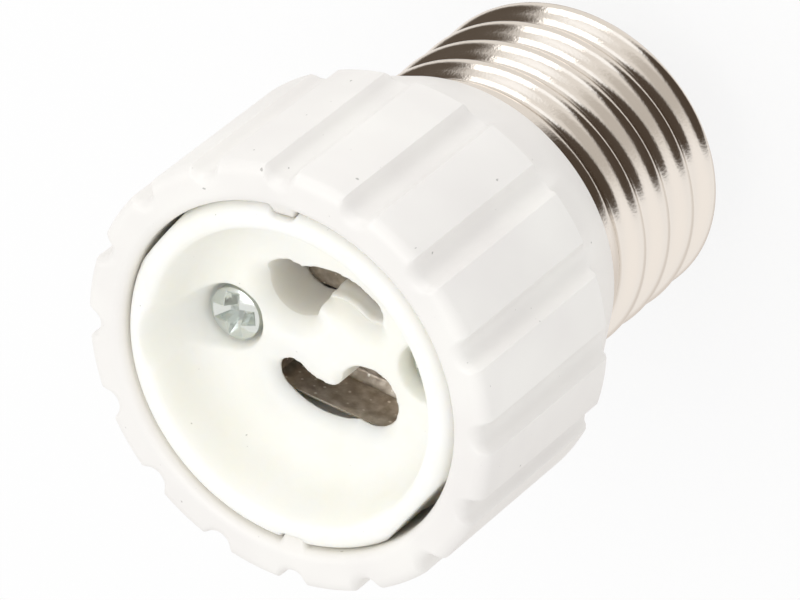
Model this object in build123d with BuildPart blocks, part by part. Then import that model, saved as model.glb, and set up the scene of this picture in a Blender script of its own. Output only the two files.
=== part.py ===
import os

from build123d import *

os.makedirs("parts", exist_ok=True)

# Lamp socket adapter: a screw cap below, a two-pin twist-lock socket above.
# Millimetres, +Z along the lamp axis and out of the socket, origin at the tip of the cap's contact.

# Cap heights, measured up from the tip of the centre contact
contact_dome = 1.6
nose_wall = 2.9
nose_height = 5.4
shell_end = 5.5
cap_length = 23.7

# Housing body
body_length = 25.3
body_radius = 18.0
rear_wall = 0.9
shoulder_height = 7.5
pad_height = 0.8
pad_slope = 0.5
pad_round = 0.4
rim_round = 1.0
bore_radius = 14.7
bore_round = 0.35
bore_floor_height = 5.2
flute_count = 16
flute_radius = 1.35
flute_depth = 1.0

# Hollow core that carries the screw shell
core_wall = 2.05
core_step = 2.3
core_bevel = 0.8
nose_tip_radius = 6.0
nose_well_radius = 4.2
shell_clearance = 0.1
seat_depth = 2.2
seat_clearance = 0.15

# Screw shell: thin sheet with a rounded right-hand thread
sheet = 0.3
thread_pitch = 3.629
thread_radius = 13.15
thread_depth = 1.1
thread_first = 5.39
thread_foot = 1.5
thread_flank = 0.9
thread_crest = 0.32
thread_sink = 0.2
thread_runout = 2.0
collar_radius = 12.75
collar_bevel = 0.5
shell_lip_radius = 10.9
shell_lip_height = 1.1

# Ceramic socket insert
insert_clearance = 0.3
insert_height = 12.3
insert_recess = 0.1
insert_round = 0.8
dish_radius = 12.5
dish_depth = 6.1
dish_foot_radius = 11.3
dish_foot_round = 3.2
dish_lip_round = 0.8
flat_depth = 0.7
flat_angle = -38.0
key_width = 2.0
key_reach = 0.9
key_gap = 0.2
key_below_rim = 0.7

# Keyhole slots for the lamp's two headed pins
pin_spacing = 10.0
pin_twist = 84.0
slot_width = 3.1
entry_radius = 2.7
slot_depth = 3.9
slot_lip_round = 0.3

# Contact clips and the chambers that hold them, turned a little from the keys
clip_turn = -9.0
clip_clearance = 0.25
clip_sheet = 0.4
clip_length = 10.6
clip_inner = 1.5
clip_outer = 6.45
clip_bend = 0.8
clip_top_gap = 0.2
leaf_cover = 1.1
leaf_play = 0.5
leaf_room = 1.15
jaw_start = -0.4
jaw_play = 1.5
tail_place = 4.6
tail_width = 1.6
tail_length = 3.6

# Insert screws and the posts that take them
screw_offset = 8.8
screw_head_radius = 2.35
screw_head_height = 1.8
screw_crown = 0.5
screw_radius = 1.45
screw_length = 12.0
cross_width = 0.7
cross_span = 2.8
cross_depth = 1.1
cross_taper = 15.0
pocket_radius = 3.0
pocket_flare = 9.0
pocket_drop = 2.9
screw_hole_clearance = 0.25
pilot_clearance = 0.05
pilot_spare = 1.0
post_radius = 3.2
rib_thickness = 1.6
rib_inner = 3.4

# Centre contact rivet
contact_radius = 4.75
contact_shank_radius = 1.5
contact_clinch_radius = 2.4
contact_clinch_height = 0.6
contact_hole_clearance = 0.05

# Insulated leads
lead_radius = 0.9
wire_radius = 0.45
wire_touch = 0.05
lead_bend = 4.0
bare_end = 2.4
line_bend_height = 16.0
line_centre_height = 10.5
neutral_height = 16.0
neutral_bend = 2.0
neutral_hole_clearance = 0.2

# Levels
rim_level = cap_length + body_length
shoulder_level = cap_length + shoulder_height
bore_floor_level = cap_length + bore_floor_height
nose_floor = contact_dome + nose_wall
nose_top = contact_dome + nose_height
core_floor = nose_top + core_bevel
insert_top = rim_level - insert_recess
insert_bottom = insert_top - insert_height
plate_level = insert_bottom - clip_sheet
dish_floor = insert_top - dish_depth
chamber_roof = dish_floor - slot_depth
leaf_roof = dish_floor - leaf_cover
pocket_floor = dish_floor - pocket_drop
screw_top = pocket_floor + screw_head_height
screw_tip = pocket_floor - screw_length
key_top = rim_level - key_below_rim
seat_level = cap_length + seat_depth
step_level = cap_length - core_step
thread_span = (step_level - thread_first) / thread_pitch

# Radii that follow from the fits
thread_root = thread_radius - thread_depth
shell_inner = thread_root - sheet
core_radius = shell_inner - shell_clearance
core_cavity_radius = core_radius - core_wall
collar_core_radius = collar_radius - sheet - shell_clearance
seat_radius = collar_radius + seat_clearance
rear_radius = seat_radius + rear_wall
shoulder_radius = body_radius - pad_height
insert_radius = bore_radius - insert_clearance
key_inner = bore_radius - key_reach
pilot_radius = screw_radius + pilot_clearance
pin_radius = pin_spacing / 2
clip_end = clip_length / 2

# Lead routes: each lead hangs beside its clip's tail, half a turn from the other
tail_outer = clip_outer - clip_bend
beside_tail = Vector(tail_place + wire_radius + wire_touch, tail_outer - tail_width / 2, 0)
lead_spot = beside_tail.rotate(Axis.Z, clip_turn)
lead_top = plate_level - tail_length - wire_touch
clinch_top = nose_floor + contact_clinch_height
outward = lead_spot.normalized()
neutral_exit = outward * core_cavity_radius + Vector(0, 0, neutral_height)

# Housing: one moulding, with the fluted body, the core and the nose of the cap
with BuildPart() as housing:
    with BuildSketch(Plane.XZ) as outline:
        with BuildLine():
            Polyline(
                (0, contact_dome),
                (nose_tip_radius, contact_dome),
                (core_radius, nose_top),
                (core_radius, step_level + collar_bevel),
                (collar_core_radius, step_level + collar_bevel),
                (collar_core_radius, seat_level),
                (seat_radius, seat_level),
                (seat_radius, cap_length),
                (rear_radius, cap_length),
                (shoulder_radius, shoulder_level),
                (body_radius, shoulder_level + pad_slope),
                (body_radius, rim_level),
                (0, rim_level),
                close=True,
            )
        make_face()
        pad_corner, rim_corner = outline.vertices().group_by(Axis.X)[-1].sort_by(Axis.Y)
        fillet(pad_corner, pad_round)
        fillet(rim_corner, rim_round)
    revolve(axis=Axis.Z)
    # Half-round flutes that part the grip into pads
    with BuildSketch(Plane.XY.offset(cap_length)):
        with PolarLocations(body_radius + flute_radius - flute_depth, flute_count):
            Circle(flute_radius)
    extrude(amount=body_length, mode=Mode.SUBTRACT)
    # Hollow core, with the screw posts and the clip ribs left standing, and a well in the nose
    with BuildSketch(Plane.XY.offset(core_floor)):
        Circle(core_cavity_radius)
        with PolarLocations(screw_offset, 2):
            Circle(post_radius, mode=Mode.SUBTRACT)
        with PolarLocations(rib_inner, 2, start_angle=90):
            Rectangle(bore_radius, rib_thickness, align=(Align.MIN, Align.CENTER), mode=Mode.SUBTRACT)
    extrude(amount=bore_floor_level - core_floor, mode=Mode.SUBTRACT)
    with BuildSketch(Plane.XY.offset(nose_floor)):
        Circle(nose_well_radius)
    extrude(amount=core_floor - nose_floor, mode=Mode.SUBTRACT)
    # Socket bore: clip ribs low down, posts up to the insert, and two keys on the wall
    for bottom, top, reach, thickness, post in (
        (bore_floor_level, plate_level, rib_inner, rib_thickness, True),
        (plate_level, insert_bottom, key_inner, key_width, True),
        (insert_bottom, key_top, key_inner, key_width, False),
    ):
        with BuildSketch(Plane.XY.offset(bottom)):
            Circle(bore_radius)
            with PolarLocations(reach, 2, start_angle=90):
                Rectangle(bore_radius, thickness, align=(Align.MIN, Align.CENTER), mode=Mode.SUBTRACT)
            if post:
                with PolarLocations(screw_offset, 2):
                    Circle(post_radius, mode=Mode.SUBTRACT)
        extrude(amount=top - bottom, mode=Mode.SUBTRACT)
    with BuildSketch(Plane.XY.offset(key_top)):
        Circle(bore_radius)
    extrude(amount=key_below_rim, mode=Mode.SUBTRACT)
    mouth = housing.edges().filter_by(GeomType.CIRCLE).group_by(Axis.Z)[-1]
    fillet(mouth.filter_by(lambda edge: abs(edge.radius - bore_radius) < 0.01), bore_round)
    # Pilot holes for the screws, the contact's hole and the neutral lead's way out
    with BuildSketch(Plane.XY.offset(insert_bottom)):
        with PolarLocations(screw_offset, 2):
            Circle(pilot_radius)
    extrude(amount=screw_tip - pilot_spare - insert_bottom, mode=Mode.SUBTRACT)
    with BuildSketch(Plane.XY.offset(contact_dome)):
        Circle(contact_shank_radius + contact_hole_clearance)
    extrude(amount=nose_wall, mode=Mode.SUBTRACT)
    with BuildSketch(Plane(origin=neutral_exit, z_dir=outward)):
        Circle(lead_radius + neutral_hole_clearance)
    extrude(amount=core_wall, both=True, mode=Mode.SUBTRACT)

# Socket insert: pressed and fired ceramic, dished at the front, hollow behind its slots
with BuildPart() as socket_insert:
    with BuildSketch(Plane.XZ) as section:
        with BuildLine():
            Polyline(
                (0, dish_floor),
                (0, insert_bottom),
                (insert_radius, insert_bottom),
                (insert_radius, insert_top),
                (dish_radius, insert_top),
                (dish_foot_radius, dish_floor),
                close=True,
            )
        make_face()
        fillet(section.vertices().sort_by_distance((dish_foot_radius, dish_floor))[0], dish_foot_round)
        top_corners = section.vertices().group_by(Axis.Y)[-1].sort_by(Axis.X)
        fillet(top_corners[-1], insert_round)
        fillet(top_corners[0], dish_lip_round)
    revolve(axis=Axis.Z)
    # Keyhole slots: an arc for the pin's neck, with a round entry for its head
    with BuildSketch(Plane.XY.offset(dish_floor)):
        for middle in (90, 270):
            with BuildLine(mode=Mode.PRIVATE) as pin_path:
                CenterArc((0, 0), pin_radius, middle - pin_twist / 2, pin_twist)
            SlotArc(pin_path.edges()[0], slot_width)
            with PolarLocations(pin_radius, 1, start_angle=middle + pin_twist / 2):
                Circle(entry_radius)
    extrude(amount=-slot_depth, mode=Mode.SUBTRACT)
    floor_edges = socket_insert.edges().filter_by_position(Axis.Z, dish_floor - 0.01, dish_floor + 0.01)
    fillet(floor_edges.filter_by(lambda edge: edge.radius < pin_radius + entry_radius), slot_lip_round)
    # The entries go right through. Behind each slot are a chamber and a taller groove for its clip.
    with BuildSketch(Plane.XY.offset(insert_bottom)):
        with PolarLocations(pin_radius, 2, start_angle=90 + pin_twist / 2):
            Circle(entry_radius)
    extrude(amount=chamber_roof - insert_bottom, mode=Mode.SUBTRACT)
    for start, inner, outer, roof in (
        (jaw_start - jaw_play, clip_inner - clip_clearance, clip_outer, chamber_roof),
        (-clip_end - clip_clearance, clip_outer - clip_sheet - leaf_room, clip_outer + leaf_play, leaf_roof),
    ):
        with BuildSketch(Plane.XY.offset(insert_bottom)):
            with PolarLocations(0, 2, start_angle=clip_turn):
                with Locations((start, inner)):
                    Rectangle(clip_end + clip_clearance - start, outer - inner, align=(Align.MIN, Align.MIN))
        extrude(amount=roof - insert_bottom, mode=Mode.SUBTRACT)
    # Flared screw pockets cut through the dish wall, and the screw holes below them
    with BuildSketch(Plane.XY.offset(pocket_floor)):
        with PolarLocations(screw_offset, 2):
            Circle(pocket_radius)
    extrude(amount=insert_top - pocket_floor, taper=-pocket_flare, mode=Mode.SUBTRACT)
    with BuildSketch(Plane.XY.offset(insert_bottom)):
        with PolarLocations(screw_offset, 2):
            Circle(screw_radius + screw_hole_clearance)
    extrude(amount=pocket_floor - insert_bottom, mode=Mode.SUBTRACT)
    # Two flats, and two notches that slide over the housing's keys
    with BuildSketch(Plane.XY.offset(insert_bottom)):
        with PolarLocations(insert_radius - flat_depth, 2, start_angle=flat_angle):
            Rectangle(insert_radius, 2 * insert_radius, align=(Align.MIN, Align.CENTER))
        with PolarLocations(key_inner - key_gap, 2, start_angle=90):
            Rectangle(insert_radius, key_width + 2 * key_gap, align=(Align.MIN, Align.CENTER))
    extrude(amount=insert_height, mode=Mode.SUBTRACT)

# Screw shell: the thread, wound turn by turn and run out at both ends, on a thin sleeve
with BuildPart() as screw_shell:
    for turn in range(int(thread_span) + 1):
        winds = min(1, thread_span - turn)
        start = thread_first + turn * thread_pitch
        with BuildLine() as winding:
            Helix(thread_pitch, winds * thread_pitch, thread_root, center=(0, 0, start))
        with BuildSketch(Plane(origin=winding.line @ 0, x_dir=(1, 0, 0), z_dir=winding.line % 0)):
            with BuildLine():
                Polyline(
                    (-thread_sink, -thread_foot),
                    (0, -thread_foot),
                    (thread_depth / 2, -thread_flank),
                    (thread_depth, -thread_crest),
                    (thread_depth, thread_crest),
                    (thread_depth / 2, thread_flank),
                    (0, thread_foot),
                    (-thread_sink, thread_foot),
                    close=True,
                )
            make_face()
        sweep(is_frenet=True)
    # The room for the thread: from the middle of the sheet out, narrowing towards the lip and the collar
    with BuildSketch(Plane.XZ):
        with BuildLine():
            Polyline(
                (shell_lip_radius - sheet / 2, shell_end),
                (thread_radius + thread_sink, shell_end + thread_runout),
                (thread_radius + thread_sink, step_level + collar_bevel - thread_runout),
                (collar_radius - sheet / 2, step_level + collar_bevel),
                (thread_root - sheet / 2, step_level - collar_bevel),
                (thread_root - sheet / 2, shell_end + shell_lip_height),
                close=True,
            )
        make_face()
    revolve(axis=Axis.Z, mode=Mode.INTERSECT)
    with BuildSketch(Plane.XZ):
        with BuildLine():
            Polyline(
                (shell_lip_radius, shell_end),
                (thread_root, shell_end + shell_lip_height),
                (thread_root, step_level - collar_bevel),
                (collar_radius, step_level + collar_bevel),
                (collar_radius, seat_level),
                (collar_radius - sheet, seat_level),
                (collar_radius - sheet, step_level + collar_bevel),
                (shell_inner, step_level - collar_bevel),
                (shell_inner, shell_end + shell_lip_height),
                (shell_lip_radius - sheet, shell_end),
                close=True,
            )
        make_face()
    revolve(axis=Axis.Z)

# Centre contact: a domed rivet clinched inside the nose
with BuildPart() as centre_contact:
    with BuildSketch(Plane.XZ):
        with BuildLine():
            TangentArc((0, 0), (contact_radius, contact_dome), tangent=(1, 0))
            Polyline(
                (contact_radius, contact_dome),
                (contact_shank_radius, contact_dome),
                (contact_shank_radius, nose_floor),
                (contact_clinch_radius, nose_floor),
                (contact_clinch_radius, nose_floor + contact_clinch_height),
                (0, nose_floor + contact_clinch_height),
                (0, 0),
            )
        make_face()
    revolve(axis=Axis.Z)

# Insert screws: pan heads with a cross recess, one each side of the socket
screw_nodes = []
for side in (1, -1):
    with BuildPart() as insert_screw:
        with BuildSketch(Plane.XZ.move(Location((side * screw_offset, 0, 0)))):
            with BuildLine():
                Polyline(
                    (0, screw_top),
                    (0, screw_tip),
                    (screw_radius / 2, screw_tip),
                    (screw_radius, screw_tip + screw_radius),
                    (screw_radius, pocket_floor),
                    (screw_head_radius, pocket_floor),
                    (screw_head_radius, screw_top - screw_crown),
                )
                TangentArc((0, screw_top), (screw_head_radius, screw_top - screw_crown), tangent=(1, 0))
            make_face()
        revolve(axis=Axis((side * screw_offset, 0, 0), (0, 0, 1)))
        with BuildSketch(Plane.XY.offset(screw_top)):
            with Locations((side * screw_offset, 0)):
                Rectangle(cross_span, cross_width)
                Rectangle(cross_width, cross_span)
        extrude(amount=-cross_depth, taper=cross_taper, mode=Mode.SUBTRACT)
    screw_nodes.append(insert_screw)
insert_screw_right, insert_screw_left = screw_nodes

# Contact clips: spring strip under the insert, with a tall outer leaf for the pin's head and a low inner jaw
with BuildPart() as clip:
    with BuildSketch(Plane.YZ.offset(-clip_end)) as strip:
        with Locations((clip_inner, plate_level)):
            Rectangle(
                clip_outer - clip_inner,
                leaf_roof - clip_top_gap - plate_level,
                align=(Align.MIN, Align.MIN),
            )
        fillet(strip.vertices().group_by(Axis.Y)[0], clip_bend)
        with BuildSketch(mode=Mode.PRIVATE) as gap:
            with Locations((clip_inner + clip_sheet, insert_bottom)):
                Rectangle(
                    clip_outer - clip_inner - 2 * clip_sheet,
                    insert_height,
                    align=(Align.MIN, Align.MIN),
                )
            fillet(gap.vertices().group_by(Axis.Y)[0], clip_bend - clip_sheet)
        add(gap.sketch, mode=Mode.SUBTRACT)
    extrude(amount=clip_length)
    # The inner jaw stops under the chamber's roof, and makes way where the pin's head drops in
    for start, foot in (
        (clip_end, chamber_roof - clip_top_gap),
        (jaw_start, insert_bottom),
    ):
        with BuildSketch(Plane.XY.offset(foot)):
            with Locations((start, clip_inner)):
                Rectangle(clip_length, clip_bend, align=(Align.MAX, Align.MIN))
        extrude(amount=insert_height, mode=Mode.SUBTRACT)
    with BuildSketch(Plane.XY.offset(insert_bottom)):
        with Locations((tail_place, tail_outer)):
            Rectangle(clip_sheet, tail_width, align=(Align.MAX, Align.MAX))
    extrude(amount=-tail_length - clip_sheet)
with BuildPart() as neutral_contact:
    add(clip.part.rotate(Axis.Z, clip_turn))
with BuildPart() as line_contact:
    add(clip.part.rotate(Axis.Z, clip_turn + 180))

# Line lead: from the line clip's tail down the core to the clinched end of the centre contact
with BuildPart() as line_lead:
    with BuildLine() as route:
        FilletPolyline(
            (-lead_spot.X, -lead_spot.Y, lead_top),
            (-lead_spot.X, -lead_spot.Y, line_bend_height),
            (0, 0, line_centre_height),
            (0, 0, clinch_top + bare_end),
            radius=lead_bend,
        )
    with BuildSketch(Plane(origin=route.line @ 0, z_dir=route.line % 0)):
        Circle(lead_radius)
    sweep()
    with BuildSketch(Plane(origin=route.line @ 0, z_dir=(0, 0, 1))):
        Circle(wire_radius)
    extrude(amount=bare_end)
    with BuildSketch(Plane(origin=route.line @ 1, z_dir=(0, 0, -1))):
        Circle(wire_radius)
    extrude(amount=bare_end)

# Neutral lead: from the neutral clip's tail out through the core's wall to the shell
with BuildPart() as neutral_lead:
    with BuildLine() as route:
        FilletPolyline(
            (lead_spot.X, lead_spot.Y, lead_top),
            (lead_spot.X, lead_spot.Y, neutral_height),
            neutral_exit,
            radius=neutral_bend,
        )
    with BuildSketch(Plane(origin=route.line @ 0, z_dir=route.line % 0)):
        Circle(lead_radius)
    sweep()
    with BuildSketch(Plane(origin=route.line @ 0, z_dir=(0, 0, 1))):
        Circle(wire_radius)
    extrude(amount=bare_end)
    with BuildSketch(Plane(origin=route.line @ 1, z_dir=outward)):
        Circle(wire_radius)
    extrude(amount=shell_inner - core_cavity_radius - wire_touch)

for node, name in (
    (housing, "housing"),
    (socket_insert, "socket_insert"),
    (screw_shell, "screw_shell"),
    (centre_contact, "centre_contact"),
    (insert_screw_left, "insert_screw_left"),
    (insert_screw_right, "insert_screw_right"),
    (line_contact, "line_contact"),
    (neutral_contact, "neutral_contact"),
    (line_lead, "line_lead"),
    (neutral_lead, "neutral_lead"),
):
    node.part.label = name
    export_step(node.part, f"parts/{name}.step")
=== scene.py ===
import math

import bpy
from mathutils import Matrix, Vector


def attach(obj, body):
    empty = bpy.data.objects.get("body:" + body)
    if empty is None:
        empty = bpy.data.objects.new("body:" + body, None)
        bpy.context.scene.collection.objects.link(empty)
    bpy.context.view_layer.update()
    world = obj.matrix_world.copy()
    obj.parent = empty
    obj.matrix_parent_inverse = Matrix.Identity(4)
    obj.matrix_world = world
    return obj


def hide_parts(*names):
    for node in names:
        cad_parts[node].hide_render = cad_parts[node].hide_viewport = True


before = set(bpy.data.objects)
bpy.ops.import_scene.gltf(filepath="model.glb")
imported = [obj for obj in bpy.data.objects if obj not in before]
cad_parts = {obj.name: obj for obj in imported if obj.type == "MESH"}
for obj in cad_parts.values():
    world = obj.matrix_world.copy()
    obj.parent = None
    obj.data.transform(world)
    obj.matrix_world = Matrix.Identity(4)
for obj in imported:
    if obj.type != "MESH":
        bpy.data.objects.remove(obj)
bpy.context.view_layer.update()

# Housing: one white thermoplastic moulding, with a grip of sixteen pads parted by half-round flutes,
# a bore for the ceramic insert, and a hollow core below that carries the screw cap.
# It is modelled in millimetres, as the other pieces are, and brought to metres when it is done.
rim_level = 49.0
rear_level = 23.7
shoulder_level = 31.2
body_radius = 18.0
shoulder_radius = 17.2
rear_radius = 13.8
bore_radius = 14.7
bore_floor = 28.9
core_radius = 11.65
core_cavity = 9.6
collar_core = 12.35
seat_radius = 12.9
seat_level = 25.9
contact_hole = 1.55
nose_foot = 1.6
nose_radius = 6.0
nose_top = 7.0
core_step = 21.9
core_floor = 7.8
well_radius = 4.2
well_floor = 4.5
slope_radius = 15.5
slope_level = 27.45
pad_step = 0.5
pad_start = 3
pad_softness = 0.2
grip_row = 40.0
front_level = 45
face_outer = 16.4
face_inner = 15.6
flute_full = 17.0
flute_count = 16
flute_radius = 1.35
flute_depth = 1.0
flute_softness = 0.34
rim_round = 1.0
mouth_round = 0.8
key_width = 2.0
key_reach = 0.9
key_top = 48.6
key_softness = 0.2
key_fall = 0.6
key_rise = 0.2
key_rows = (47.9, 47.6)
bore_band = 0.5
post_offset = 8.8
post_inset = 0.985
post_radius = 3.2
post_sunk = 12
insert_bottom = 36.6
housing_columns = 640


def deselect():
    bpy.ops.object.select_all(action="DESELECT")


def outline(corners, step=12):
    """A closed outline from corners (across, up, round), with each round drawn as an arc."""
    points = []
    for i, (x, y, radius) in enumerate(corners):
        here = Vector((x, y))
        before = (Vector(corners[i - 1][:2]) - here).normalized()
        after = (Vector(corners[(i + 1) % len(corners)][:2]) - here).normalized()
        if radius == 0:
            points.append((x, y))
            continue
        half = before.angle(after) / 2
        centre = here + (before + after).normalized() * (radius / math.sin(half))
        first = here + before * (radius / math.tan(half)) - centre
        turn = first.angle_signed(here + after * (radius / math.tan(half)) - centre)
        count = max(2, round(math.degrees(abs(turn)) / step))
        for k in range(count + 1):
            a = -turn * k / count
            spoke = Vector(
                (
                    first.x * math.cos(a) - first.y * math.sin(a),
                    first.x * math.sin(a) + first.y * math.cos(a),
                )
            )
            points.append(tuple(centre + spoke))
    return points


def spun(name, points, columns):
    """A body turned about the lamp axis from a closed outline of (radius, height)."""
    deselect()
    bpy.ops.mesh.primitive_circle_add(vertices=len(points), fill_type="NOTHING")
    piece = bpy.context.object
    piece.name = name
    for vertex, (radius, height) in zip(piece.data.vertices, points):
        vertex.co = (radius, 0, height)
    bpy.ops.object.mode_set(mode="EDIT")
    bpy.ops.mesh.select_all(action="SELECT")
    bpy.ops.mesh.spin(steps=columns, angle=2 * math.pi, center=(0, 0, 0), axis=(0, 0, 1))
    bpy.ops.mesh.select_all(action="SELECT")
    bpy.ops.mesh.remove_doubles(threshold=0.0005)
    bpy.ops.mesh.delete_loose(use_verts=True, use_edges=True, use_faces=False)
    bpy.ops.mesh.select_all(action="SELECT")
    bpy.ops.mesh.normals_make_consistent(inside=False)
    bpy.ops.object.mode_set(mode="OBJECT")
    return piece


def to_metres(piece):
    deselect()
    piece.select_set(True)
    bpy.context.view_layer.objects.active = piece
    piece.scale = (0.001, 0.001, 0.001)
    bpy.ops.object.transform_apply(location=True, rotation=True, scale=True)


def soft_min(a, b, k):
    h = max(k - abs(a - b), 0) / k
    return min(a, b) - h * h * k / 4


def grip_radius(angle):
    """The grip's outside radius round the body: pads at full radius, flutes between them."""
    pitch = 2 * math.pi / flute_count
    off = (angle + pitch / 2) % pitch - pitch / 2
    centre = body_radius + flute_radius - flute_depth
    side = centre * math.sin(off)
    if abs(side) >= flute_radius:
        return body_radius
    flute = centre * math.cos(off) - math.sqrt(flute_radius**2 - side**2)
    return soft_min(body_radius, flute, flute_softness)


def ramp(value, start, end):
    t = min(max((value - start) / (end - start), 0), 1)
    return t * t * (3 - 2 * t)


housing = spun(
    "housing_moulding",
    outline(
        [
            (contact_hole, nose_foot, 0.1),
            (nose_radius, nose_foot, 0.5),
            (core_radius, nose_top, 0.5),
            (core_radius, core_step, 0),
            (collar_core, core_step, 0),
            (collar_core, seat_level, 0),
            (seat_radius, seat_level, 0),
            (seat_radius, rear_level, 0.15),
            (rear_radius, rear_level, 0.35),
            (slope_radius, slope_level, 0),
            (shoulder_radius, shoulder_level, 0.5),
            (body_radius, shoulder_level + pad_step, 0.5),
            (body_radius, grip_row, 0),
            (body_radius, rim_level, rim_round),
            (face_outer, rim_level, 0),
            (face_inner, rim_level, 0),
            (bore_radius, rim_level, mouth_round),
            (bore_radius, key_rows[0], 0),
            (bore_radius, key_rows[1], 0),
            (bore_radius, bore_floor, 0.4),
            (core_cavity, bore_floor, 0.4),
            (core_cavity, core_floor, 0.4),
            (well_radius, core_floor, 0.3),
            (well_radius, well_floor, 0.2),
            (contact_hole, well_floor, 0.1),
        ]
    ),
    housing_columns,
)
for vertex in housing.data.vertices:
    x, y, z = vertex.co
    radius = math.hypot(x, y)
    angle = math.atan2(y, x)
    new = radius
    if radius > slope_radius and z > shoulder_level - pad_start:
        sunk = body_radius - grip_radius(angle)
        if z > front_level:
            new = radius - sunk * ramp(radius, face_inner, flute_full)
        elif sunk:
            new = soft_min(radius, body_radius - sunk, pad_softness)
    elif abs(radius - bore_radius) < bore_band and z > bore_floor:
        across = radius * abs(math.cos(angle))
        bump = 1 - ramp(across, key_width / 2 - key_softness, key_width / 2 + key_softness)
        new = radius - key_reach * bump * (1 - ramp(z, key_top - key_fall, key_top + key_rise))
    vertex.co.x *= new / radius
    vertex.co.y *= new / radius
for side in (1, -1):
    deselect()
    bpy.ops.mesh.primitive_cylinder_add(
        vertices=64,
        radius=post_radius,
        depth=insert_bottom - bore_floor + post_sunk,
        location=(side * post_offset * post_inset, 0, (insert_bottom + bore_floor - post_sunk) / 2),
    )
    bpy.ops.object.transform_apply(location=True, rotation=True, scale=True)
    housing.select_set(True)
    bpy.context.view_layer.objects.active = housing
    bpy.ops.object.join()
deselect()
housing.select_set(True)
bpy.ops.object.shade_smooth_by_angle(angle=math.radians(40))
to_metres(housing)


def colour(code):
    """The linear colour of an sRGB hex code."""
    parts = [int(code[i : i + 2], 16) / 255 for i in (0, 2, 4)]
    return (*[p / 12.92 if p <= 0.04045 else ((p + 0.055) / 1.055) ** 2.4 for p in parts], 1)


def node(tree, kind, inputs, **settings):
    """Adds a node, with its settings, and each input given as a value or as the socket that feeds it."""
    made = tree.nodes.new(kind)
    for name, value in settings.items():
        setattr(made, name, value)
    for socket, value in inputs.items():
        if isinstance(value, bpy.types.NodeSocket):
            tree.links.new(value, made.inputs[socket])
        else:
            made.inputs[socket].default_value = value
    return made


def noise(tree, place, size, detail):
    """Adds a noise texture with features of about a size in metres."""
    return node(tree, "ShaderNodeTexNoise", {"Vector": place, "Scale": 1 / size, "Detail": detail})


def two_tone(tree, factor, low, high):
    """Adds a colour ramp between two stops of (position, hex code)."""
    made = node(tree, "ShaderNodeValToRGB", {"Fac": factor})
    for k, (position, code) in enumerate((low, high)):
        made.color_ramp.elements[k].position = position
        made.color_ramp.elements[k].color = colour(code)
    return made


def surface(tree, inputs):
    """Ends a material with a principled surface."""
    shader = node(tree, "ShaderNodeBsdfPrincipled", inputs)
    node(tree, "ShaderNodeOutputMaterial", {"Surface": shader.outputs["BSDF"]})


def new_material(name):
    made = bpy.data.materials.new(name)
    made.use_nodes = True
    made.node_tree.nodes.clear()
    return made, made.node_tree


def wear(piece, made):
    piece.data.materials.clear()
    piece.data.materials.append(made)
    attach(piece, "root")


# Moulded white polyester: a satin skin with the faint unevenness of a moulded wall, a slow drift in its
# white, and a few grey specks.
plastic, tree = new_material("moulded_white_polyester")
coords = node(tree, "ShaderNodeTexCoord", {})
drift = noise(tree, coords.outputs["Object"], 0.009, 2.0)
white = two_tone(tree, drift.outputs["Fac"], (0.3, "EAE7E4"), (0.7, "F1EFEB"))
dust = noise(tree, coords.outputs["Object"], 0.0006, 1.0)
speck = node(
    tree,
    "ShaderNodeMapRange",
    {"Value": dust.outputs["Fac"], "From Min": 0.785, "From Max": 0.82, "To Min": 0.0, "To Max": 0.6},
)
skin_colour = node(
    tree,
    "ShaderNodeMix",
    {"Factor": speck.outputs["Result"], "A": white.outputs["Color"], "B": colour("8E8B86")},
    data_type="RGBA",
)
uneven = noise(tree, coords.outputs["Object"], 0.004, 2.0)
skin = node(tree, "ShaderNodeBump", {"Height": uneven.outputs["Fac"], "Strength": 0.05, "Distance": 0.0002})
surface(
    tree,
    {
        "Base Color": skin_colour.outputs["Result"],
        "Roughness": 0.4,
        "IOR": 1.5,
        "Normal": skin.outputs["Normal"],
    },
)
wear(housing, plastic)
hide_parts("housing")

# Screw shell: thin sheet, rolled to the rounded lamp thread and nickel plated, pressed on the core
# with its collar inside the housing and its lip turned in round the nose.
shell_end = 5.5
shell_top = 25.9
lip_radius = 10.9
lip_height = 1.1
thread_root = 12.05
thread_radius = 13.15
thread_pitch = 3.629
thread_first = 5.39
thread_arc = 1.025
thread_ease = 0.55
collar_radius = 12.75
collar_level = 21.4
collar_rise = 0.9
collar_settle = 0.5
thread_run_in = 1.9
thread_run_out = 1.4
lip_start = 0.6
sheet = 0.3
shell_columns = 256
shell_rows = 150


def thread_profile(height, angle):
    """The rolled thread's radius: an arc over the crest and one in the root, eased as rolled sheet is."""
    turns = (height - thread_first) / thread_pitch - angle / (2 * math.pi)
    away = abs(turns - round(turns)) * thread_pitch
    if away < thread_pitch / 4:
        arcs = thread_radius - thread_arc + math.sqrt(max(thread_arc**2 - away**2, 0))
    else:
        arcs = thread_root + thread_arc - math.sqrt(max(thread_arc**2 - (thread_pitch / 2 - away) ** 2, 0))
    wave = (thread_radius + thread_root + (thread_radius - thread_root) * math.cos(2 * math.pi * turns)) / 2
    return arcs + (wave - arcs) * thread_ease


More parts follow.
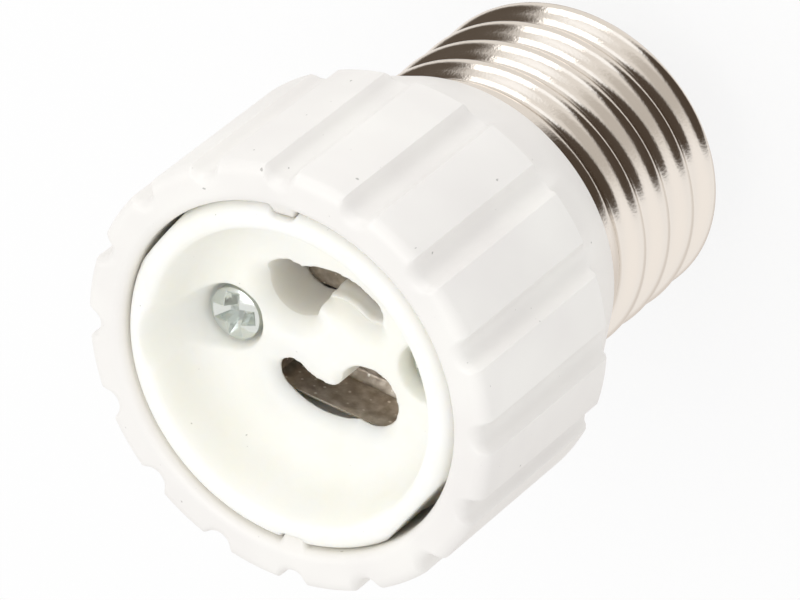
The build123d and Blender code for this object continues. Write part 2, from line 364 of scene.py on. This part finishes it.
deselect()
bpy.ops.mesh.primitive_cylinder_add(
    vertices=shell_columns,
    radius=thread_root,
    depth=shell_top - shell_end,
    end_fill_type="NOTHING",
    location=(0, 0, (shell_top + shell_end) / 2),
)
shell = bpy.context.object
shell.name = "screw_shell_sheet"
bpy.ops.object.transform_apply(location=True, rotation=True, scale=True)
bpy.ops.object.mode_set(mode="EDIT")
bpy.ops.mesh.select_mode(type="EDGE")
bpy.ops.mesh.select_all(action="DESELECT")
bpy.ops.object.mode_set(mode="OBJECT")
for edge in shell.data.edges:
    a, b = (shell.data.vertices[i].co for i in edge.vertices)
    edge.select = abs(a.z - b.z) > 1
bpy.ops.object.mode_set(mode="EDIT")
bpy.ops.mesh.subdivide(number_cuts=shell_rows)
bpy.ops.object.mode_set(mode="OBJECT")
for vertex in shell.data.vertices:
    x, y, z = vertex.co
    angle = math.atan2(y, x)
    height = thread_profile(z, angle) - thread_root
    height *= ramp(z, shell_end, shell_end + thread_run_in)
    height *= 1 - ramp(z, collar_level - thread_run_out, collar_level + collar_settle)
    widened = ramp(z, collar_level - collar_rise, collar_level + collar_settle)
    sleeve = thread_root + (collar_radius - thread_root) * widened
    lip = (thread_root - lip_radius) * (1 - ramp(z, shell_end - lip_start, shell_end + lip_height))
    radius = sleeve + height - lip
    vertex.co.x = radius * math.cos(angle)
    vertex.co.y = radius * math.sin(angle)
thicken = shell.modifiers.new("sheet", "SOLIDIFY")
thicken.thickness = sheet
thicken.offset = -1
bpy.context.view_layer.objects.active = shell
bpy.ops.object.modifier_apply(modifier=thicken.name)
bpy.ops.object.shade_smooth_by_angle(angle=math.radians(50))
to_metres(shell)

# Satin nickel plate on rolled sheet: bright champagne grey, with the fine pitted grain of the plating and
# faint dull patches.
nickel, tree = new_material("satin_nickel_plate")
coords = node(tree, "ShaderNodeTexCoord", {})
grain = noise(tree, coords.outputs["Object"], 0.00022, 2.0)
grit = node(tree, "ShaderNodeBump", {"Height": grain.outputs["Fac"], "Strength": 0.3, "Distance": 0.00003})
patch = noise(tree, coords.outputs["Object"], 0.003, 3.0)
dull = node(
    tree,
    "ShaderNodeMapRange",
    {"Value": patch.outputs["Fac"], "From Min": 0.3, "From Max": 0.7, "To Min": 0.1, "To Max": 0.17},
)
surface(
    tree,
    {
        "Base Color": colour("E6E0D9"),
        "Metallic": 1.0,
        "Roughness": dull.outputs["Result"],
        "Normal": grit.outputs["Normal"],
    },
)
wear(shell, nickel)
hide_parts("screw_shell")

# Centre contact: a nickel-plated brass rivet, domed below the nose and clinched inside it.
# Only its dome shows, at the tip of the cap.
contact_radius = 4.75
contact_dome = 1.6
shank_radius = 1.5
nose_floor = 4.5
clinch_radius = 2.4
clinch_top = 5.1
clinch_taper = 0.25
dome_steps = 14
rivet_columns = 96

dome_curve = (contact_radius**2 + contact_dome**2) / (2 * contact_dome)
dome_points = []
for k in range(dome_steps + 1):
    across = contact_radius * k / dome_steps
    dome_points.append((across, dome_curve - math.sqrt(dome_curve**2 - across**2)))
contact = spun(
    "centre_contact_rivet",
    dome_points
    + [
        (shank_radius, contact_dome),
        (shank_radius, nose_floor),
        (clinch_radius, nose_floor),
        (clinch_radius - clinch_taper, clinch_top),
        (0, clinch_top),
    ],
    rivet_columns,
)
deselect()
contact.select_set(True)
bpy.ops.object.shade_smooth_by_angle(angle=math.radians(35))
to_metres(contact)

# Plated brass: smooth and a little yellower than the shell.
brass, tree = new_material("nickel_plated_brass")
surface(
    tree,
    {"Base Color": colour("D9CDB2"), "Metallic": 1.0, "Roughness": 0.28},
)
wear(contact, brass)
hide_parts("centre_contact")

# Socket insert: pressed and fired ceramic, dished to take the lamp's base, with two keyhole slots,
# two screw pockets, and chambers behind the slots. Its edges are all soft from the press.
insert_top = 48.9
insert_radius = 14.4
insert_round = 1.0
dish_radius = 12.5
dish_floor = 42.8
dish_foot_radius = 11.3
dish_foot_round = 3.2
dish_lip_round = 0.75
flats = ((-38, 14.28), (142, 13.85))
flat_foot = 42.5
flat_width = 30
cut_reach = 20
skirt_radius = 14.62
skirt_top = 47.8
skirt_step = 0.3
notch_inner = 13.7
notch_width = 2.2
pin_radius = 5.0
pin_twist = 84
slot_width = 3.1
entry_radius = 2.7
chamber_roof = 38.9
leaf_roof = 41.7
slot_drafts = {0: ((38.89, 0.0),), 180: ((38.89, 0.45), (40.1, 0.3), (41.3, 0.0))}
undercut_start = 0.9
undercut_inner = 1.75
clip_turn = -9
chamber_start = -1.9
chamber_end = 5.55
chamber_inner = 1.25
chamber_outer = 6.45
groove_start = -5.55
groove_inner = 4.9
groove_outer = 6.95
groove_back = 7.8
pocket_sizes = {0: (2.35, 4.43), 180: (2.5, 2.7)}
pocket_floors = {0: 40.9, 180: 39.9}
screw_hole = 1.7
hole_overlap = 1
sweep_steps = 24
insert_columns = 192
voxel = 0.2
smoothing = 8
lip_sizes = {0: (0.8, 1.5), 180: (1.5, 1.8)}
lip_lean = Vector((0.55, 0.835))
lip_range = (-0.3, 0.5)
lip_reach = 1.5
lip_probe = 0.1


def prism(points, bottom, top):
    """A closed upright prism from an outline of (x, y)."""
    deselect()
    bpy.ops.mesh.primitive_circle_add(vertices=len(points), fill_type="NGON")
    made = bpy.context.object
    for vertex, (x, y) in zip(made.data.vertices, points):
        vertex.co = (x, y, bottom)
    bpy.ops.object.mode_set(mode="EDIT")
    bpy.ops.mesh.select_all(action="SELECT")
    bpy.ops.mesh.extrude_region_move(TRANSFORM_OT_translate={"value": (0, 0, top - bottom)})
    bpy.ops.mesh.select_all(action="SELECT")
    bpy.ops.mesh.normals_make_consistent(inside=False)
    bpy.ops.object.mode_set(mode="OBJECT")
    return made


def drill(x, y, bottom, top, bottom_radius, top_radius):
    """A round cutter, straight or flared."""
    deselect()
    bpy.ops.mesh.primitive_cone_add(
        vertices=96,
        radius1=bottom_radius,
        radius2=top_radius,
        depth=top - bottom,
        location=(x, y, (top + bottom) / 2),
    )
    made = bpy.context.object
    bpy.ops.object.transform_apply(location=True, rotation=True, scale=True)
    return made


def cut(body, cutter):
    tool = body.modifiers.new("cut", "BOOLEAN")
    tool.operation = "DIFFERENCE"
    tool.solver = "MANIFOLD"
    tool.object = cutter
    deselect()
    body.select_set(True)
    bpy.context.view_layer.objects.active = body
    bpy.ops.object.modifier_apply(modifier=tool.name)
    bpy.data.objects.remove(cutter)


def polar(radius, degrees):
    return (radius * math.cos(math.radians(degrees)), radius * math.sin(math.radians(degrees)))


def block(angle, inner, outer, width):
    """The plan of a straight-sided cut that faces outwards at an angle."""
    out = Vector(polar(1, angle))
    along = Vector((-out.y, out.x)) * (width / 2)
    near, far = out * inner, out * outer
    return [tuple(p) for p in (near - along, far - along, far + along, near + along)]


def slot_distance(x, y):
    """How far a point in plan lies outside the nearer keyhole slot."""
    if y < 0:
        x, y = -x, -y
    point = Vector((x, y))
    narrow = Vector(polar(pin_radius, 90 - pin_twist / 2))
    entry = Vector(polar(pin_radius, 90 + pin_twist / 2))
    away = min((point - narrow).length - slot_width / 2, (point - entry).length - entry_radius)
    if abs(math.degrees(math.atan2(x, y))) < pin_twist / 2:
        away = min(away, abs(point.length - pin_radius) - slot_width / 2)
    return away


def room(turn, start, end, inner, outer):
    """The plan of a straight-sided room beside the axis, turned with its clip."""
    c = math.cos(math.radians(turn))
    d = math.sin(math.radians(turn))
    plan = ((start, inner), (end, inner), (end, outer), (start, outer))
    return [(x * c - y * d, x * d + y * c) for x, y in plan]


insert = spun(
    "socket_insert_ceramic",
    outline(
        [
            (0, dish_floor, 0),
            (0, insert_bottom, 0),
            (skirt_radius, insert_bottom, 0.4),
            (skirt_radius, skirt_top, 0),
            (insert_radius, skirt_top + skirt_step, 0),
            (insert_radius, insert_top, insert_round),
            (dish_radius, insert_top, dish_lip_round),
            (dish_foot_radius, dish_floor, dish_foot_round),
        ]
    ),
    insert_columns,
)
above = insert_top + 1
below = insert_bottom - 1
for half_turn in (0, 180):
    middle = 90 + half_turn
    narrow = middle - pin_twist / 2
    entry = middle + pin_twist / 2
    sweep = [narrow + pin_twist * k / sweep_steps for k in range(sweep_steps + 1)]
    for level, draft in slot_drafts[half_turn]:
        half = slot_width / 2 - draft
        outside = [polar(pin_radius + half, a) for a in sweep]
        inside = [polar(pin_radius - half, a) for a in reversed(sweep)]
        cut(insert, prism(outside + inside, level, above))
        cut(insert, drill(*polar(pin_radius, narrow), level, above, half, half))
    cut(insert, drill(*polar(pin_radius, entry), below, above, entry_radius, entry_radius))
    turn = clip_turn + half_turn
    chamber = room(turn, chamber_start, chamber_end, chamber_inner, chamber_outer)
    cut(insert, prism(chamber, below, chamber_roof))
    groove = room(turn, groove_start, chamber_end, groove_inner, groove_outer)
    cut(insert, prism(groove, below, leaf_roof))
    if half_turn == 0:
        undercut = room(turn, undercut_start, chamber_end, undercut_inner, groove_outer)
        cut(insert, prism(undercut, below, leaf_roof))
        behind = room(turn, groove_start, chamber_end, groove_inner, groove_back)
        cut(insert, prism(behind, below, leaf_roof))
    pocket = polar(post_offset, half_turn)
    cut(insert, drill(*pocket, pocket_floors[half_turn], insert_top, *pocket_sizes[half_turn]))
    hole_top = pocket_floors[half_turn] + hole_overlap
    cut(insert, drill(*pocket, below, hole_top, screw_hole, screw_hole))
    cut(insert, prism(block(middle, notch_inner, cut_reach, notch_width), below, above))
for angle, distance in flats:
    cut(insert, prism(block(angle, distance, cut_reach, flat_width), flat_foot, above))
fired = insert.modifiers.new("fired", "REMESH")
fired.mode = "VOXEL"
fired.voxel_size = voxel
fired.use_smooth_shade = True
bpy.ops.object.modifier_apply(modifier=fired.name)
for vertex in insert.data.vertices:
    x, y, z = vertex.co
    drop, width = lip_sizes[0 if y > 0 else 180]
    by_floor = dish_floor - drop - lip_probe < z < dish_floor + lip_reach
    if by_floor and vertex.co.xy.length < dish_foot_radius:
        away = max(slot_distance(x, y), 0)
        across = slot_distance(x + lip_probe, y) - away
        along = slot_distance(x, y + lip_probe) - away
        lean = ramp(Vector((across, along)).normalized().dot(lip_lean), *lip_range)
        if away < width:
            vertex.co.z = min(z, dish_floor - drop * lean * (1 - away / width) ** 2)
soften = insert.modifiers.new("soften", "SMOOTH")
soften.factor = 0.5
soften.iterations = smoothing
bpy.ops.object.modifier_apply(modifier=soften.name)
bpy.ops.object.shade_smooth()
to_metres(insert)

# Unglazed ivory ceramic: a dull, fine-grained white that leans to yellow-green, with a faint mottle, fine
# pores and a few dark grains.
ceramic, tree = new_material("unglazed_ivory_ceramic")
coords = node(tree, "ShaderNodeTexCoord", {})
mottle = noise(tree, coords.outputs["Object"], 0.005, 4.0)
ivory = two_tone(tree, mottle.outputs["Fac"], (0.3, "FBF9EE"), (0.7, "FFFDF4"))
grains = noise(tree, coords.outputs["Object"], 0.0005, 1.0)
fleck = node(
    tree,
    "ShaderNodeMapRange",
    {"Value": grains.outputs["Fac"], "From Min": 0.79, "From Max": 0.82, "To Min": 0.0, "To Max": 0.5},
)
fired_colour = node(
    tree,
    "ShaderNodeMix",
    {"Factor": fleck.outputs["Result"], "A": ivory.outputs["Color"], "B": colour("9C998A")},
    data_type="RGBA",
)
grit = noise(tree, coords.outputs["Object"], 0.0006, 3.0)
pores = node(tree, "ShaderNodeBump", {"Height": grit.outputs["Fac"], "Strength": 0.1, "Distance": 0.0001})
surface(
    tree,
    {
        "Base Color": fired_colour.outputs["Result"],
        "Roughness": 0.55,
        "IOR": 1.5,
        "Subsurface Weight": 0.8,
        "Subsurface Radius": (1.0, 0.92, 0.8),
        "Subsurface Scale": 0.002,
        "Normal": pores.outputs["Normal"],
    },
)
wear(insert, ceramic)
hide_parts("socket_insert")

# Insert screws: bright zinc-plated pan heads with a cross recess, driven through the insert's pockets
# into the housing's posts.
head_radius = 2.2
head_height = 1.8
head_crown = 0.5
head_chamfer = 0.1
crown_steps = 12
screw_columns = 96
screw_radius = 1.45
screw_length = 12.0
cross_span = 5.3
cross_width = 1.7
cross_foot = 0.38
cross_depth = 1.4
cross_turn = 3
cross_over = 0.5
edge_width = 0.06


def break_edges(piece, limit):
    """Rounds the sharp edges of the active piece, over an angle in degrees, and smooths its faces."""
    edges = piece.modifiers.new("edges", "BEVEL")
    edges.width = edge_width
    edges.segments = 2
    edges.limit_method = "ANGLE"
    edges.angle_limit = math.radians(limit)
    bpy.ops.object.modifier_apply(modifier=edges.name)
    bpy.ops.object.shade_smooth_by_angle(angle=math.radians(35))


zinc, tree = new_material("bright_zinc_plate")
coords = node(tree, "ShaderNodeTexCoord", {})
wipe = noise(tree, coords.outputs["Object"], 0.0008, 2.0)
dents = node(tree, "ShaderNodeBump", {"Height": wipe.outputs["Fac"], "Strength": 0.25, "Distance": 0.0001})
surface(
    tree,
    {"Base Color": colour("D6DBD8"), "Metallic": 1.0, "Roughness": 0.16, "Normal": dents.outputs["Normal"]},
)

for side, half_turn, name in ((1, 0, "right"), (-1, 180, "left")):
    pocket_floor = pocket_floors[half_turn]
    screw_top = pocket_floor + head_height
    screw_tip = pocket_floor - screw_length
    crown = (head_radius**2 + head_crown**2) / (2 * head_crown)
    dome = []
    for k in range(crown_steps + 1):
        across = head_radius * (1 - k / crown_steps)
        dome.append((across, screw_top - crown + math.sqrt(crown**2 - across**2)))
    screw = spun(
        "insert_screw_" + name + "_pan",
        [
            (0, screw_tip),
            (screw_radius / 2, screw_tip),
            (screw_radius, screw_tip + screw_radius),
            (screw_radius, pocket_floor),
            (head_radius - head_chamfer, pocket_floor),
            (head_radius, pocket_floor + head_chamfer),
            *dome,
        ],
        screw_columns,
    )
    for quarter in (0, 90):
        wing = prism(
            block(quarter + cross_turn, -cross_span / 2, cross_span / 2, cross_width),
            screw_top - cross_depth,
            screw_top + cross_over,
        )
        for vertex in wing.data.vertices:
            if vertex.co.z < screw_top:
                vertex.co.x *= cross_foot
                vertex.co.y *= cross_foot
        cut(screw, wing)
    break_edges(screw, 35)
    screw.location.x = side * post_offset
    bpy.ops.object.transform_apply(location=True, rotation=False, scale=False)
    to_metres(screw)
    wear(screw, zinc)
    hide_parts("insert_screw_" + name)

# Contact clips: spring bronze strip under the insert, folded up to a tall outer leaf that presses on the
# lamp pin's head and a low inner jaw, with a tail for the lead.
clip_end = 5.3
clip_inner = 1.5
clip_outer = 6.45
clip_sheet = 0.4
clip_bend = 0.8
leaf_top = 41.5
leaf_bevel = 0.3
jaw_top = 38.7
jaw_start = -1.65
tail_place = 4.6
tail_width = 1.6
tail_length = 3.6
tongue_inner = 0.5
tongue_end = -5.9
tab_top = 41.2
crease_level = 37.5
crease_depth = 0.28
crease_height = 0.35
crease_lip = 0.05
fold_play = 0.02
tab_inset = 0.01
trough_foot = 0.3

bronze, tree = new_material("dull_spring_bronze")
coords = node(tree, "ShaderNodeTexCoord", {})
stain = noise(tree, coords.outputs["Object"], 0.0009, 4.0)
tone = two_tone(tree, stain.outputs["Fac"], (0.35, "AEA294"), (0.7, "DED5CA"))
scuff = noise(tree, coords.outputs["Object"], 0.0005, 2.0)
# Painted glints: sparse near-white dots mixed into the bronze's base colour stand in for specks of light on
# the metal.
dots = node(tree, "ShaderNodeTexVoronoi", {"Vector": coords.outputs["Object"], "Scale": 1 / 0.0008})
painted_glint = node(
    tree,
    "ShaderNodeMapRange",
    {"Value": dots.outputs["Distance"], "From Min": 0.2, "From Max": 0.1, "To Min": 0.0, "To Max": 0.9},
)
painted_light_dots = node(
    tree,
    "ShaderNodeMix",
    {"Factor": painted_glint.outputs["Result"], "A": tone.outputs["Color"], "B": colour("FFFAF2")},
    data_type="RGBA",
)
rough = node(tree, "ShaderNodeBump", {"Height": scuff.outputs["Fac"], "Strength": 0.5, "Distance": 0.0001})
surface(
    tree,
    {
        "Base Color": painted_light_dots.outputs["Result"],
        "Metallic": 0.8,
        "Roughness": 0.4,
        "Normal": rough.outputs["Normal"],
    },
)

# Painted highlight: a near-white bronze for the leaf's top faces, standing in for light caught along the
# edge of the sheet.
bright, tree = new_material("painted_highlight_bronze_edge")
surface(
    tree,
    {"Base Color": colour("F4ECE0"), "Metallic": 0.6, "Roughness": 0.3},
)

# Painted shade: a near-black bronze for the faces of the leaf's crease step, standing in for the shadow in
# the fold.
painted_crease_shade, tree = new_material("painted_shade_bronze_crease")
surface(
    tree,
    {"Base Color": colour("3A322B"), "Metallic": 0.5, "Roughness": 0.5},
)

for half_turn, name in ((0, "neutral"), (180, "line")):
    plate = insert_bottom - clip_sheet
    trough = outline(
        [
            (clip_inner, jaw_top, 0),
            (clip_inner, plate, clip_bend),
            (clip_outer, plate, clip_bend),
            (clip_outer, leaf_top - leaf_bevel, 0),
            (clip_outer - clip_sheet, leaf_top, 0),
            (clip_outer - clip_sheet, crease_level, 0),
            (clip_outer - clip_sheet + crease_depth, crease_level - crease_lip, 0),
            (clip_outer - clip_sheet + crease_depth, crease_level - crease_height, 0),
            (clip_outer - clip_bend, insert_bottom, trough_foot),
            (clip_inner + clip_sheet, insert_bottom, clip_bend - clip_sheet),
            (clip_inner + clip_sheet, jaw_top, 0),
        ]
    )
    clip = prism(trough, -clip_end, clip_end)
    clip.name = name + "_contact_clip"
    for vertex in clip.data.vertices:
        across, up, along = vertex.co
        vertex.co = (along, across, up)
    beside_jaw = room(0, -2 * clip_end, jaw_start, 0, clip_inner + clip_bend)
    cut(clip, prism(beside_jaw, insert_bottom, leaf_top))
    tail_outer = clip_outer - clip_bend
    tail_plan = room(0, tail_place - clip_sheet, tail_place, tail_outer - tail_width, tail_outer)
    tail = prism(tail_plan, plate - tail_length, plate + clip_sheet / 2)
    tongue_plan = room(0, tongue_end, jaw_start, tongue_inner, tail_outer)
    tongue = prism(tongue_plan, plate + fold_play, insert_bottom - fold_play)
    tab_plan = room(0, clip_end - clip_sheet, clip_end - tab_inset, clip_inner + clip_bend, tail_outer)
    tab = prism(tab_plan, plate + fold_play, tab_top)
    deselect()
    for strip in (tongue, tab, tail, clip):
        strip.select_set(True)
    bpy.context.view_layer.objects.active = clip
    bpy.ops.object.join()
    bpy.ops.object.mode_set(mode="EDIT")
    bpy.ops.mesh.select_all(action="SELECT")
    bpy.ops.mesh.normals_make_consistent(inside=False)
    bpy.ops.object.mode_set(mode="OBJECT")
    break_edges(clip, 40)
    # The leaf's top faces take the painted highlight (slot 1) and the crease step's faces take the painted
    # shade (slot 2).
    painted_faces = {}
    for face in clip.data.polygons:
        across, height = face.center.yz
        off_crease = abs(height - crease_level + crease_height / 2)
        if height > leaf_top - leaf_bevel:
            painted_faces[face.index] = 1
        elif off_crease < crease_height / 2 and crease_lip < clip_outer - across < clip_sheet:
            painted_faces[face.index] = 2
    clip.rotation_euler.z = math.radians(clip_turn + half_turn)
    to_metres(clip)
    wear(clip, bronze)
    clip.data.materials.append(bright)
    clip.data.materials.append(painted_crease_shade)
    for index, painted_slot in painted_faces.items():
        clip.data.polygons[index].material_index = painted_slot
    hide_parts(name + "_contact")

# Leads: stranded wire in a white silicone sleeve, hidden in the core.
# The CAD solids serve as they are, and only get this material.
silicone, tree = new_material("white_silicone_sleeve")
surface(tree, {"Base Color": colour("E6E6E2"), "Roughness": 0.6})
for name in ("line_lead", "neutral_lead"):
    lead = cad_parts[name]
    lead.data.materials.clear()
    lead.data.materials.append(silicone)

# Studio: a white floor under the cap that keeps a soft shadow, and even light from all round with two soft
# panels. Polished metal sees a white table below and a grey room with dark and bright patches above it, as
# they lie for an adapter on its side. A long lens looks down into the socket, cap to the upper right.
floor_size = 4.0
view_azimuth = math.radians(-133.65)
view_elevation = math.radians(46.89)
view_roll = math.radians(128.80)
view_distance = 0.63009
view_aim = Vector((0.001709, 0.002811, 0.030))
lens = 368.17
sensor = 36.0
table_tilt = math.radians(30.4)
light_level = 0.9
room_level = 1.25
room_wall = "E0DCD7"
room_table = "ECEAE8"
table_edge = -3
table_blur = 6
room_patches = (
    (2, 25, 20, 8, "BAB4AD"),
    (-115, 24, 28, 9, "564D44"),
    (180, -12, 16, 8, "837A71"),
    (80, 16, 50, 8, "4A4037"),
    (-48, 40, 15, 7, "FFFFFF"),
    (-48, 14, 13, 7, "FFFFFF"),
    (55, 78, 13, 7, "FFFFFF"),
)
table_patches = (
    (150, -40, 30, 22, "D2CCC6"),
    (10, -35, 26, 20, "F0EDEA"),
)
floor_glow = 0.8
panel_distance = 0.6
panel_size = 0.4
panels = (
    ("front_panel", -0.5, -0.1, 0.86, 0.8),
    ("top_panel", -0.3, 0.85, 0.43, 0.5),
)

back = Vector(
    (
        math.cos(view_azimuth) * math.cos(view_elevation),
        math.sin(view_azimuth) * math.cos(view_elevation),
        math.sin(view_elevation),
    )
)
upright = (-back).to_track_quat("-Z", "Y").to_matrix().to_4x4()
turned = upright @ Matrix.Rotation(-view_roll, 4, "Z")
right = turned.col[0].to_3d()
up = turned.col[1].to_3d()
table_up = up * math.cos(table_tilt) + back * math.sin(table_tilt)
table_near = back * math.cos(table_tilt) - up * math.sin(table_tilt)

deselect()
bpy.ops.object.camera_add(location=view_aim + back * view_distance)
camera = bpy.context.object
camera.matrix_world = Matrix.Translation(camera.location) @ turned
camera.data.lens = lens
camera.data.sensor_width = sensor
camera.data.clip_start = 0.01
camera.data.clip_end = 20
bpy.context.scene.camera = camera
bpy.context.scene.view_settings.view_transform = "Standard"

deselect()
bpy.ops.mesh.primitive_plane_add(size=floor_size, location=(0, 0, 0))
floor = bpy.context.object
floor.name = "studio_floor"
floor.visible_glossy = False
paper, tree = new_material("white_studio_paper")
ray = node(tree, "ShaderNodeLightPath", {})
matt = node(tree, "ShaderNodeBsdfDiffuse", {"Color": colour("F4F4F4")})
glow = node(tree, "ShaderNodeEmission", {"Color": colour("FFFFFF"), "Strength": 1.0})
seen = node(tree, "ShaderNodeMath", {0: ray.outputs["Is Camera Ray"], 1: floor_glow}, operation="MULTIPLY")
mixed = node(
    tree,
    "ShaderNodeMixShader",
    {0: seen.outputs["Value"], 1: matt.outputs["BSDF"], 2: glow.outputs["Emission"]},
)
node(tree, "ShaderNodeOutputMaterial", {"Surface": mixed.outputs["Shader"]})
floor.data.materials.append(paper)

world = bpy.data.worlds.new("studio_light")
bpy.context.scene.world = world
world.use_nodes = True
tree = world.node_tree
tree.nodes.clear()
way = node(tree, "ShaderNodeTexCoord", {})
room_colour = colour(room_wall)
table_disc = (0, -90, 90 + table_edge, table_blur, room_table)
for azimuth, elevation, spread, blur, code in (*room_patches, table_disc, *table_patches):
    level = table_near * math.cos(math.radians(azimuth)) + right * math.sin(math.radians(azimuth))
    towards = level * math.cos(math.radians(elevation)) + table_up * math.sin(math.radians(elevation))
    facing = node(
        tree,
        "ShaderNodeVectorMath",
        {0: way.outputs["Generated"], 1: towards},
        operation="DOT_PRODUCT",
    )
    lit = node(
        tree,
        "ShaderNodeMapRange",
        {
            "Value": facing.outputs["Value"],
            "From Min": math.cos(math.radians(spread + blur)),
            "From Max": math.cos(math.radians(spread - blur)),
        },
        interpolation_type="SMOOTHSTEP",
    )
    patched = node(
        tree,
        "ShaderNodeMix",
        {"Factor": lit.outputs["Result"], "A": room_colour, "B": colour(code)},
        data_type="RGBA",
    )
    room_colour = patched.outputs["Result"]
room_light = node(tree, "ShaderNodeBackground", {"Color": room_colour, "Strength": room_level})
even = node(tree, "ShaderNodeBackground", {"Color": colour("FFFFFF"), "Strength": light_level})
ray = node(tree, "ShaderNodeLightPath", {})
chosen = node(
    tree,
    "ShaderNodeMixShader",
    {0: ray.outputs["Is Glossy Ray"], 1: even.outputs["Background"], 2: room_light.outputs["Background"]},
)
node(tree, "ShaderNodeOutputWorld", {"Surface": chosen.outputs["Shader"]})

for name, across, over, near, power in panels:
    towards = (right * across + up * over + back * near).normalized()
    deselect()
    bpy.ops.object.light_add(type="AREA", location=view_aim + towards * panel_distance)
    lamp = bpy.context.object
    lamp.name = name
    lamp.data.size = panel_size
    lamp.data.energy = power
    lamp.rotation_euler = (-towards).to_track_quat("-Z", "Y").to_euler()
